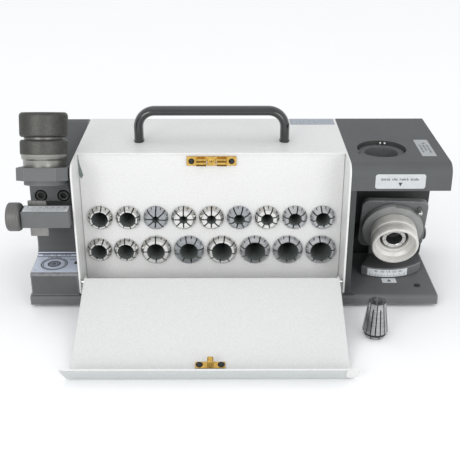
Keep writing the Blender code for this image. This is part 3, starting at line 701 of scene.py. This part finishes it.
def sector(bm, outer, inner, span, slots, steps, low, high):
    """One finger of a collet between two slots: outside 0, bore and sides 1, mouth 2."""
    outside = clip(outer, low, high)
    section = outside + list(reversed(clip(inner, low, high)))
    rings = []
    for r, s in section:
        first = span[0] + math.asin(min(slots[0] / r, 0.9))
        last = span[1] - math.asin(min(slots[1] / r, 0.9))
        rings.append([bm.verts.new((r * MM * math.cos(a), r * MM * math.sin(a), s * MM))
                      for a in (first + (last - first) * k / steps for k in range(steps + 1))])
    count = len(rings)
    for i in range(count):
        lower, upper = rings[i], rings[(i + 1) % count]
        mark = 2 if i == count - 1 and low == 0 else int(i >= len(outside))
        for k in range(steps):
            bm.faces.new((lower[k], lower[k + 1], upper[k + 1], upper[k])).material_index = mark
    for k, flip in ((0, False), (steps, True)):
        side = [ring[k] for ring in rings]
        bm.faces.new(list(reversed(side)) if flip else side).material_index = 1


def fingers(bm, outer, inner, turn, half_slots, back, front, length):
    """A collet's wall, cut by eight slots from the front and eight from the back."""
    near, far = half_slots
    for k in range(8):
        a = turn + k * EIGHTH
        sector(bm, outer, inner, (a, a + EIGHTH), (near, near), 6, 0, back)
        sector(bm, outer, inner, (a, a + EIGHTH / 2), (near, far), 3, back, front)
        sector(bm, outer, inner, (a + EIGHTH / 2, a + EIGHTH), (far, near), 3, back, front)
        sector(bm, outer, inner, (a - EIGHTH / 2, a + EIGHTH / 2), (far, far), 6, front, length)


def make_collet(node, full, length, bore, turn, finish):
    """A stored spring collet, with a thin dark lining inside its slots; the lining, bore and slot
    walls are a grey-green painted shade.
    """
    nose, waist, root = full - 2.3, full - 1.3, full - 0.9
    hole = bore / 2
    mouth = min(hole + 0.5, nose - 0.5)
    outer = [(nose - 0.25, 0), (nose + 0.1, 0.3), (full - 0.12, 3.1), (full, 3.35), (full, 5.5),
             (full - 0.2, 5.7), (waist, 5.71), (waist, 7.6), (root, 7.9), (full * 0.66, length)]
    inner = [(mouth, 0), (hole, 0.7), (hole + 0.02, 2.0), (min(hole, full * 0.6), length)]
    bm = bmesh.new()
    half_slots = (0.56 if bore < 12 else 0.54, 0.36)
    fingers(bm, outer, inner, math.radians(turn), half_slots, 1.7, length * 0.86, length)
    skin = min(hole, full * 0.6) - 0.05
    lathe_mesh(bm, [(hole - 0.05, 3.0), (hole + 0.25, 3.0), (skin + 0.25, length - 0.2),
                    (skin, length - 0.2)], 40, material=1)
    middle = middle_of(node)
    publish(f"{node}_slotted", bm,
            [finish, COLLET_BORE_SHADE, COLLET_FACE if finish is STEEL else finish], node,
            frame_at((middle.x, design_box(node)[0].y, middle.z), BACK),
            (node,), 25)


def make_collets():
    rows = (("collet_top", 10.5, 31.5, (13.2, 12.8, 5.4, 6.3, 7.2, 8.6, 9.5, 10.4, 11.5)),
            ("collet_low_small", 10.5, 31.5, (12.8, 13.3)),
            ("collet_low_large", 13.0, 34.0, (14.5, 15.1, 16.5, 17.1, 17.4, 17.6)))
    turns = iter((8, 30, 3, 0, 1, 17, 28, 12, 35, 22, 40, 0, 33, 10, 20, 5, 38))
    finishes = dict.fromkeys(("collet_top_3", "collet_top_6", "collet_low_large_2"), STEEL_DULL)
    finishes |= dict.fromkeys(("collet_top_8", "collet_top_9", "collet_low_large_4",
                               "collet_low_large_5", "collet_low_large_6"), STEEL_GREY)
    for label, full, length, bores in rows:
        for i, bore in enumerate(bores):
            node = f"{label}_{i + 1}"
            make_collet(node, full, length, bore, next(turns), finishes.get(node, STEEL))
    outer = [(7.4, 0), (7.7, 0.3), (9.2, 3.35), (9.0, 3.5), (8.6, 3.6), (8.6, 5.4), (9.9, 5.5),
             (10.3, 6.0), (6.9, 31.5)]
    inner = [(4.9, 0), (4.5, 0.7), (4.5, 31.5)]
    bm = bmesh.new()
    fingers(bm, outer, inner, math.radians(14), (0.5, 0.5), 4.5, 27.5, 31.5)
    # The groove below the collar takes near-black: painted shade.
    repaint(bm, 3, lambda r, z: 3.36 < z < 5.5 and 8 < r < 9.7)
    publish("loose_collet_slotted", bm, [STEEL_FIN, COLLET_BORE_SHADE, COLLET_FACE, RECESS_SHADE],
            "loose_collet",
            frame_at((*middle_of("loose_collet").xy, 0.0), UP), ("loose_collet",), 25)


# ---------------------------------------------------------------- door and catch
DOOR_LEAN, DOOR_FOLD, LIP_AT = math.radians(122.0), (-105.0, 1.0), 14.7
STRIKE_TILT = math.radians(14.6)
SIDES = ((-1, "left"), (1, "right"))


def inner_end(node, side):
    """The middle of a left or right node's face that looks at the machine's middle."""
    low, high = design_box(node)
    middle = (low + high) / 2
    return (low.x if side > 0 else high.x, middle.y, middle.z)


def make_door():
    door = refined("door", "door_sheet", [WHITE, WHITE_EDGE_HIGHLIGHT, WHITE_LIP_SHADE], 0.35, 2)
    # The lip's down-facing faces take the darker white: painted shade.
    tint(door, 2, lambda middle, normal: normal.y < -0.6 and normal.z < -0.3)
    for side, label in SIDES:
        node = f"hinge_pin_{label}"
        low, high = design_box(node)
        long = high.x - low.x
        bm = bmesh.new()
        lathe_mesh(bm, filleted([(0, 0.25), (2.4, 0.1), (3.2, 0.5), (3.2, 1.2), (1.75, 1.2),
                                 (1.75, long), (0, long)], 0.2), 36)
        # The slot is a thin near-black plate: painted shade.
        add_prism(bm, bar(-2.6, -0.3, 2.6, 0.3), 0.02, 0.3, Matrix.Rotation(0.6, 4, "Z"), 1)
        publish(f"{node}_turned", bm, [STEEL, RECESS_SHADE], "machine",
                frame_at(inner_end(node, side), (side, 0, 0)), (node,))


def make_door_tab():
    """The rounded tab that covers the right end of the door's lip."""
    along = (math.cos(DOOR_LEAN), math.sin(DOOR_LEAN))
    out = (-along[1], along[0])
    origin = (104.9, *(fold + LIP_AT * a + 0.6 * o for fold, a, o in zip(DOOR_FOLD, along, out)))
    radius, drop = 4.75, -8.4
    outline = [(-radius, 0.0)] + arc((0.0, drop), radius, 180, 360, 16) + [(radius, 0.0)]
    bm = bmesh.new()
    add_prism(bm, outline, -0.1, 0.35, frame_at(origin, (0, *out), (0, *along)))
    soften(publish("door_finger_tab", bm, [WHITE, WHITE_EDGE_HIGHLIGHT], "door"), 0.15)


def make_catch():
    catch = refined("catch_body", "catch_plate", [BRASS, BRASS, BRASS_DARK_REFLECTION], 0.4, 2)
    # The barrels' sloping faces take the dark brass: painted reflection.
    tint(catch, 2, lambda middle, normal: (normal.y < -0.2 and abs(normal.x) < 0.1
                                           and 0.3 < abs(normal.z) < 0.75))
    refined("strike", "strike_plate", [BRASS], 0.3, 2)
    middle = middle_of("catch_body")
    face = design_box("catch_body")[1].y - 1.5
    screw_heads("catch_screws", [((middle.x + dx, face, middle.z), FORWARD, turn)
                                 for dx, turn in ((-16.6, 20), (16.6, 65))],
                2.5, 1.2, "pan", SCREW_BLACK, "machine")
    screw_heads("catch_rivet", [((middle.x, face, middle.z), FORWARD, 40)], 1.7, 0.35, "pan",
                BRASS, "machine")
    normal = Vector((0, -math.sin(STRIKE_TILT), math.cos(STRIKE_TILT)))
    plate = middle_of("strike") - normal * 2.55
    screw_heads("strike_screws", [((plate.x + dx, plate.y, plate.z), tuple(normal), turn)
                                  for dx, turn in ((-8.2, 10), (8.2, 50))],
                2.8, 0.45, "pan", SCREW_BLACK, "door")
    for side, label in SIDES:
        node = f"catch_ball_{label}"
        profile = [(0, 0)] + [(1.9 * math.sin(t), 1.9 - 1.9 * math.cos(t))
                              for t in (math.pi / 2 * k / 6 for k in range(1, 7))]
        turned(f"{node}_round", profile + [(1.9, 3.4), (0, 3.4)], STEEL, inner_end(node, side),
               (side, 0, 0), node, "bright_steel", (node,), 32, 0)


# ---------------------------------------------------------------- setting station
TILT = math.radians(18.0)
STATION_AT, STATION_AXIS = Vector((-134.2, 13.0, 117.5)), (0, math.sin(TILT), math.cos(TILT))
HOLDER_TOP, GAP, SLEEVE_TALL = 10.3 / 2 - 2.6, 0.3, 24.2
KNURL_FROM = 19.2


def diamond(angle, radius, height, low, high, depth=0.13, count=110, pitch=1.12):
    """Fine diamond knurling between two heights on the widest part."""
    if not low < height < high or radius < KNURL_FROM:
        return radius
    turn = 2 * math.pi * height / pitch / 2
    return radius - depth * (1 - abs(math.cos(count / 2 * angle + turn))
                             * abs(math.cos(count / 2 * angle - turn)))


def station(along):
    """A design point on the setting station's leaning axis."""
    return STATION_AT + Vector(STATION_AXIS) * along


def hexed(angle, radius):
    """The reach of a hexagonal socket's wall."""
    return radius * math.cos(math.pi / 6) / math.cos((angle % (math.pi / 3)) - math.pi / 6)


def make_station():
    holder = refined("ring_holder", "ring_holder_shape", [CAST_BASE, CAST_EDGE_WEAR_HIGHLIGHT, RECESS_SHADE], 0.9)
    sleeve = [(12.6, -12.0), (12.6, 0), (17.15, 0), (17.15, 7.6), (17.6, 8.4), (18.3, 9.2),
              (18.6, 12.0), (19.0, 12.7)]
    sleeve += [(19.35, 13.3 + 0.28 * k) for k in range(34)]
    sleeve += [(18.9, 23.4), (18.0, SLEEVE_TALL), (12.5, SLEEVE_TALL), (9.0, SLEEVE_TALL),
               (9.0, -12.0)]

    def sleeve_wave(angle, radius, height):
        if 0.2 < height < 7.5 and radius > 16:
            flat = [16.3 / max(math.cos(angle - math.radians(turn)), 0.2) for turn in (58, 238)]
            return min([radius] + [reach for reach in flat if reach < 17.2])
        return diamond(angle, radius, height, 13.2, 22.7)

    bm = bmesh.new()
    lathe_mesh(bm, sleeve, 440, sleeve_wave)
    repaint(bm, 1, lambda r, z: z > 12.4 and r > 17)
    publish("chuck_sleeve_turned", bm, [STEEL_WARM, KNURL_DARK], "setting_chuck",
            frame_at(station(HOLDER_TOP + GAP), STATION_AXIS, FORWARD), ("chuck_sleeve",), 40)
    nut = [(9.0, 0), (15.8, 0), (15.8, 1.6), (18.0, 1.9), (18.9, 2.7)]
    nut += [(19.35, 3.9 + 0.28 * k) for k in range(54)]
    nut += [(19.1, 19.6), (18.4, 20.7), (17.3, 21.4), (11.5, 21.4), (10.2, 20.2), (9.0, 19.0)]
    bm = bmesh.new()
    lathe_mesh(bm, nut, 440, lambda a, r, h: diamond(a, r, h, 3.8, 18.9))
    # The nut's skirt inside the groove takes blackened steel in place of bright steel: painted
    # shade.
    repaint(bm, 1, lambda r, z: r < 16.2 and z < 1.9)
    publish("chuck_nut_turned", bm, [KNURL_DARK, BLACKENED_AND_GROOVE_SHADE], "chuck_nut",
            frame_at(station(HOLDER_TOP + GAP + SLEEVE_TALL + GAP), STATION_AXIS, FORWARD),
            ("chuck_nut",), 40)
    for node in ("holder_screw_left", "holder_screw_right"):
        x, _, z = middle_of(node)
        y = design_box(node)[1].y
        profile = [(0, 0), (4.3, 0), (4.3, 4.5), (3.9, 5.0), (2.9, 5.0), (2.6, 4.5), (2.5, 2.4),
                   (0, 2.4)]
        bm = bmesh.new()
        lathe_mesh(bm, profile, 48, lambda a, r, h: hexed(a, r) if r < 2.7 else r)
        # The hex socket's faces take near-black: painted shade.
        repaint(bm, 1, lambda r, h: r < 2.75)
        publish(f"{node}_socket", bm, [BLACKENED_AND_GROOVE_SHADE, RECESS_SHADE], "machine",
                frame_at((x, y, z), FORWARD), (node,))
        # The counterbore round each screw takes near-black: painted shade.
        tint(holder, 2, lambda p, normal: math.hypot(p.x - x, p.z - z) < 5.5 and p.y > y - 5.0)


def left_end(node):
    """The middle of a node's left face."""
    return (design_box(node)[0].x, *middle_of(node).yz)


def make_stop():
    refined("stop_plate", "stop_bracket", [STEEL_PLATE], 0.6, 2)
    refined("stop_block", "stop_block_shape", [CAST_BASE, CAST_EDGE_WEAR_HIGHLIGHT], 0.9, angle=50)
    knob = [(0, 0.9), (7.6, 0.9), (8.2, 0), (10.4, 0), (11.7, 1.3), (11.7, 9.4), (10.6, 11.3),
            (4.0, 11.3), (0, 11.3)]
    turned("stop_knob_turned", knob, KNOB_METAL, left_end("stop_knob"), RIGHT, "stop_knob",
           "cast_grey", ("stop_knob",), 288, 1.1, knurl(72, 0.1, 2.6, 8.2, 11.2), sharp=40)
    marks = [bar(x - 0.08, -5.0, x + 0.08, -5.0 + long)
             for x, long in ((-16 + k, 3.4 if k % 5 == 0 else 1.9) for k in range(33))]
    marks.append(bar(-16.3, -0.9, 16.3, -0.7))
    for k in range(7):
        for face in glyphs(str(k * 5), 2.6):
            marks.append([(x - 15 + k * 5, y + 1.4) for x, y in face])
    place = frame_at((middle_of("stop_block").x, 0.0, design_box("stop_block")[1].z), UP)
    sticker("stop_scale", "stop_block", place, rounded_rectangle(-18.2, -6.0, 18.2, 5.0, 0.8),
            marks, PAPER, INK)


# ---------------------------------------------------------------- hood, port and point fixture
def make_port():
    low, high = design_box("port_ring")
    x, y, z = *middle_of("port_ring").xy, low.z
    tall = high.z - z
    ring = [(13.8, 0), (20.2, 0), (20.2, tall - 1.4), (19.2, tall), (14.4, tall),
            (13.8, tall - 0.6)]
    turned("port_ring_turned", ring, CAST, (x, y, z), UP, "machine", "dark_steel",
           ("port_ring",), 96, 0.35)
    bm = bmesh.new()
    pin, reach = filleted([(0, 0), (1.15, 0), (1.15, 2.2), (0.8, 2.9), (0, 2.9)], 0.2), 17.4
    for dx in (1.7, 5.4):
        foot = spot(x + dx, y + math.sqrt(reach ** 2 - dx * dx), z + tall - 0.2)
        lathe_mesh(bm, pin, 20, place=Matrix.Translation(foot))
    publish("port_pins", bm, STEEL, "machine")


def make_labels():
    bend, hood_flat, ledge_flat = 9.0, 10.4, 26.4

    def over_hood(x, y, h):
        """Up the hood's front face, then round its upper bend."""
        if y <= hood_flat:
            return Vector((x - 20, y, h))
        turn = (y - hood_flat) / bend
        return Vector((x - 20, hood_flat + (bend + h) * math.sin(turn),
                       -bend + (bend + h) * math.cos(turn)))

    marks = script(4.6, 7.0, (5, 3, 5, 5), 2.3)
    marks.append([(18.3, 5.2), (21.7, 5.2), (20.0, 2.0)])
    bent_sticker("hood_label", "machine", frame_at((151.0, 0.0, 109.0), FORWARD),
                 (40.0, 12.2), marks, over_hood, PAPER_HOOD, 1.3)

    marks = [[(-12.6, 2.0), (-9.4, 2.0), (-11.0, -1.0)]]
    for k, line in enumerate(((6, 4, 7), (8, 5), (3, 9, 4))):
        marks += script(-7.0, 2.3 - k * 3.0, line, 1.6)
    sticker("hood_top_label", "machine", frame_at((177.6, 41.5, TOP), UP, RIGHT),
            rounded_rectangle(-20, -5.9, 20, 5.9, 0.9), marks, PAPER_GREY, INK)

    def over_ledge(x, y, h):
        """Back over the ledge, then up its fillet."""
        if y <= ledge_flat:
            return Vector((x, y, h))
        turn = (y - ledge_flat) / bend
        return Vector((x, ledge_flat + (bend - h) * math.sin(turn),
                       bend - (bend - h) * math.cos(turn)))

    low, high = design_box("left_casting")
    left, right = low.x + 0.8, high.x - 0.3
    marks = []
    for radius, width, steps in ((11.4, 1.1, 40), (9.6, 0.6, 40), (5.6, 1.5, 40),
                                 (3.6, 1.1, 24), (1.9, 1.5, 12)):
        marks += ring_marks(-135.0 - left, 14.8, radius, width, steps)
    marks += script(4.0, 29.6, (7, 4, 9), 1.8) + script(9.0, 26.6, (5, 6), 1.6)
    marks += script(29.0, 22.6, (5,), 1.5) + script(2.0, 3.0, (2,), 1.5)
    marks.append(bar(33.6, 14.4, 36.2, 19.6))
    bent_sticker("ledge_label", "machine", frame_at((left, 2.6, high_of_ledge()), UP),
                 (right - left, 33.4), marks, over_ledge, PAPER_BLUE)


def high_of_ledge():
    """The ledge's height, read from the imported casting: its highest point near the front."""
    near = [v.co.z for v in NODES["left_casting"].data.vertices
            if v.co.y < SHIFT.y + 29.5 * MM]
    return max(near) / MM


def make_housing():
    for node in ("motor_body", "bearing_left", "bearing_right", "motor_shaft", "wheel_nut"):
        NODES[node].data.materials.clear()
        NODES[node].data.materials.append(BLACKENED_AND_GROOVE_SHADE if node == "motor_body" else STEEL)
    wheel = [(5.4, 0), (22.0, 0), (22.0, 15.0), (12.0, 15.0), (10.5, 14.0), (5.4, 14.0)]
    turned("grinding_wheel_stone", wheel, STONE, left_end("grinding_wheel"), RIGHT, "spindle",
           "grinding_stone", ("grinding_wheel",), 96, 0.4)


def make_fixture():
    base = refined("swivel_base", "swivel_base_shape", [CAST_BASE, CAST_EDGE_WEAR_HIGHLIGHT, CAST_SHADED_TOP], 0.7,
                   2)
    # The upward faces take the darker cast paint: painted shade.
    tint(base, 2, lambda middle, normal: normal.z > 0.9)
    refined("fixture_plate", "fixture_plate_shape", [CAST_LIGHT, CAST_EDGE_WEAR_HIGHLIGHT], 0.9)
    tilt, swing = math.radians(17.3), math.radians(3.2)
    axis = (-math.sin(swing) * math.cos(tilt), -math.cos(swing) * math.cos(tilt),
            -math.sin(tilt))
    centre = (158.0, 47.0, 53.0)

    def cam(angle, radius, height):
        turn = ((math.pi / 2 - angle) / (2 * math.pi)) % 1
        return radius * (1.0 if radius < 24 else 0.95 + 0.05 * turn)

    disc = [(8.0, -11.0), (12.2, -11.0), (12.2, -1.0), (27.0, -1.0), (27.0, 4.0), (8.0, 4.0)]
    turned("cam_disc_machined", disc, CAM_METAL, centre, axis, "drill_chuck", "cast_grey",
           ("cam_disc",), 144, 0.4, cam)
    mouth = 25.0
    cup = [(12.4, 4.3), (19.2, 4.3), (19.6, 4.9), (19.6, 9.0), (20.0, 9.6), (20.0, 14.0),
           (19.3, 14.8), (19.3, 18.0), (20.0, 18.8), (20.0, mouth - 1.4), (19.2, mouth),
           (17.6, mouth), (16.6, mouth - 5.0), (14.2, mouth - 7.5), (13.2, mouth - 10.0),
           (12.4, mouth - 10.0)]
    turned("fixture_cup_turned", cup, ALUMINIUM, centre, axis, "drill_chuck", "aluminium",
           ("fixture_cup",), 96, 0.5)
    bm = bmesh.new()
    outer = [(10.5, 5.0), (11.9, 8.5), (11.9, 12.6), (10.0, 13.0), (10.0, 14.6), (9.7, 14.95)]
    inner = [(7.0, 5.0), (7.0, 14.5), (7.4, 14.95)]
    for k in range(8):
        a = 0.2 + k * EIGHTH
        sector(bm, outer, inner, (a, a + EIGHTH), (0.16, 0.16), 6, 5.0, 14.95)
    # The outside near the top, in the gap inside the cup, takes near-black, as do the bore and
    # slot walls: painted shade.
    repaint(bm, 1, lambda r, z: z > 12.3 and r > 9.9)
    repaint(bm, 2, lambda r, z: z > 14.5 or (9.6 < r < 10.3 and z > 13))
    publish("fixture_collet_slotted", bm, [STEEL, RECESS_SHADE, COLLET_FACE], "drill_chuck",
            frame_at(centre, axis), ("fixture_collet",), 25)
    long = 8.0
    turned("cam_pin_turned", [(0, 0), (2.0, 0), (2.0, 7.2), (1.4, long), (0, long)], STEEL,
           middle_of("cam_pin") - Vector(axis) * long / 2, axis, "point_fixture",
           "bright_steel", ("cam_pin",), 28)
    low, high = design_box("side_knob")
    long = high.x - low.x
    knob = [(0, 0), (6.0, 0), (6.6, 0.8), (6.6, long - 1.2), (5.4, long), (0, long)]
    turned("side_knob_ribbed", knob, BLACK, left_end("side_knob"), RIGHT, "side_knob",
           "black_plastic", ("side_knob",), 120, 0.3, knurl(20, 0.3, 0.9, long - 1.0, 6.2))


def make_swivel_scale():
    """The angle scale on the swivel base's front rim, and its pointer on the base."""
    radius, wide = 42.0, 36.0
    marks = [bar(0.6, 3.15, wide - 0.6, 3.3)]
    for k in range(-12, 13):
        x = wide / 2 + k * 1.3
        marks.append(bar(x - 0.14, 0.3, x + 0.14, 0.3 + (2.7 if k % 4 == 0 else 1.5)))
    for text, x in (("90", -10.4), ("100", -5.2), ("118", 0.0), ("130", 5.2), ("140", 10.4)):
        for face in glyphs(text, 2.7):
            marks.append([(px + wide / 2 + x, py + 4.9) for px, py in face])

    def bend(x, y, h):
        angle, reach = (x - wide / 2) / radius, radius + h
        return Vector((reach * math.sin(angle), y, reach * math.cos(angle)))

    place = frame_at((154.0, 73.0, design_box("swivel_base")[0].z + 1.0), FORWARD)
    bent_sticker("swivel_scale", "point_fixture", place, (wide, 6.7), marks, bend, PAPER)
    sticker("pointer_label", "machine", frame_at((154.5, 26.6, BASE_TOP), UP),
            rounded_rectangle(-6.2, -4.2, 6.2, 4.0, 0.5),
            [[(-1.9, -2.2), (1.9, -2.2), (0.0, 1.9)]], PAPER, INK)


def make_electrics():
    refined("power_inlet", "power_inlet_shape", [BLACK], 0.5, 2)
    refined("power_rocker", "power_rocker_shape", [GLOSS], 0.6, 2, 50)
    root = design_box("power_inlet")[1].y - 12.6
    bm = bmesh.new()
    for x, z in ((84.0, 40.5), (96.0, 40.5), (90.0, 46.0)):
        add_prism(bm, rounded_rectangle(-1.0, -2.6, 1.0, 2.6, 0.4, 2), 0.0, 7.0,
                  frame_at((x, root, z), BACK))
    publish("inlet_pins", bm, BRASS, "machine")


# ---------------------------------------------------------------- stage
FLOOR_Z = -0.0002
SKY_COLOUR, SKY_STRENGTH = (0.97, 0.985, 1.0, 1), 0.955
LIGHTS = (("key", (-0.9, -1.5, 0.75), 0.8, 8.5),
          ("fill", (0.9, -1.6, 0.5), 0.9, 7.5),
          ("top", (-0.3, 0.2, 1.8), 1.0, 1.0))
AIM = Vector((0, 0, 0.06))
EYE, LOOK_DOWN, LOOK_RIGHT, LENS = (-0.0035, -0.6332, 0.3687), 25.24, 0.2, 66.5


def make_stage():
    bm = bmesh.new()
    bm.faces.new([bm.verts.new((x, y, FLOOR_Z)) for x, y in bar(-3, -3, 3, 5)])
    mesh = bpy.data.meshes.new("studio_floor")
    bm.to_mesh(mesh)
    bm.free()
    g = Graph("floor_white", Roughness=0.9, Specular_IOR_Level=0.1)
    g.colour(g.ramp(g.noise(3.0), (0.2, 0.965), (0.8, 0.98)))
    mesh.materials.append(g.material)
    add_object("studio_floor", mesh)

    world = bpy.data.worlds.new("studio")
    bpy.context.scene.world = world
    world.use_nodes = True
    background = world.node_tree.nodes["Background"]
    background.inputs["Color"].default_value = SKY_COLOUR
    background.inputs["Strength"].default_value = SKY_STRENGTH

    for name, place, size, power in LIGHTS:
        data = bpy.data.lights.new(name, "AREA")
        data.shape = "DISK"
        data.size = size
        data.energy = power
        light = add_object(name, data)
        light.location = place
        light.rotation_euler = (AIM - light.location).to_track_quat("-Z", "Y").to_euler()

    camera = add_object("camera", bpy.data.cameras.new("camera"))
    camera.data.lens = LENS
    camera.data.sensor_width = 36.0
    camera.data.clip_start, camera.data.clip_end = 0.01, 20.0
    camera.location = EYE
    camera.rotation_euler = (math.radians(90 - LOOK_DOWN), 0.0, math.radians(-LOOK_RIGHT))
    bpy.context.scene.camera = camera
    bpy.context.scene.view_settings.view_transform = "Standard"


for step in (make_base, make_cover, make_castings, make_handle, make_collets, make_door,
             make_door_tab, make_catch, make_station, make_stop, make_port, make_labels,
             make_housing, make_fixture, make_swivel_scale, make_electrics, make_stage):
    step()
